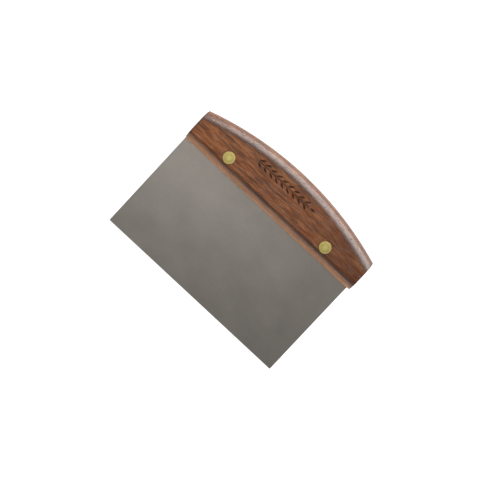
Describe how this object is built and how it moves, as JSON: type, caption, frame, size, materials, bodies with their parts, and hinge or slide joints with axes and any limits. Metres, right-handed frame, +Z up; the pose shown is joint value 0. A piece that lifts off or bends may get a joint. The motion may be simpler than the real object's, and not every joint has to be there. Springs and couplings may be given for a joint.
{
  "type": "bench scraper",
  "caption": "Bench scraper with a wide rectangular steel blade riveted in a slotted, crowned walnut handle, for cutting dough and clearing a worktop.",
  "frame": {"origin": "on the bench plane, under the middle of the tool's bounding box, with the tool lying on its back", "axes": "+X along the handle and the cutting edge, +Y from the cutting edge towards the crown of the handle, +Z up from the bench towards the front face"},
  "size_m": [0.1542, 0.1146, 0.0202],
  "materials": {
    "blade_steel": "fine satin stainless sheet, cool grey",
    "handle_wood": "oiled walnut, grain along the handle, sanded smooth",
    "rivet_brass": "sanded and lightly polished brass"
  },
  "bodies": {
    "root": {"blade": "blade_steel", "handle": "handle_wood", "rivet_left_male": "rivet_brass", "rivet_left_female": "rivet_brass", "rivet_right_male": "rivet_brass", "rivet_right_female": "rivet_brass"}
  },
  "joints": []
}
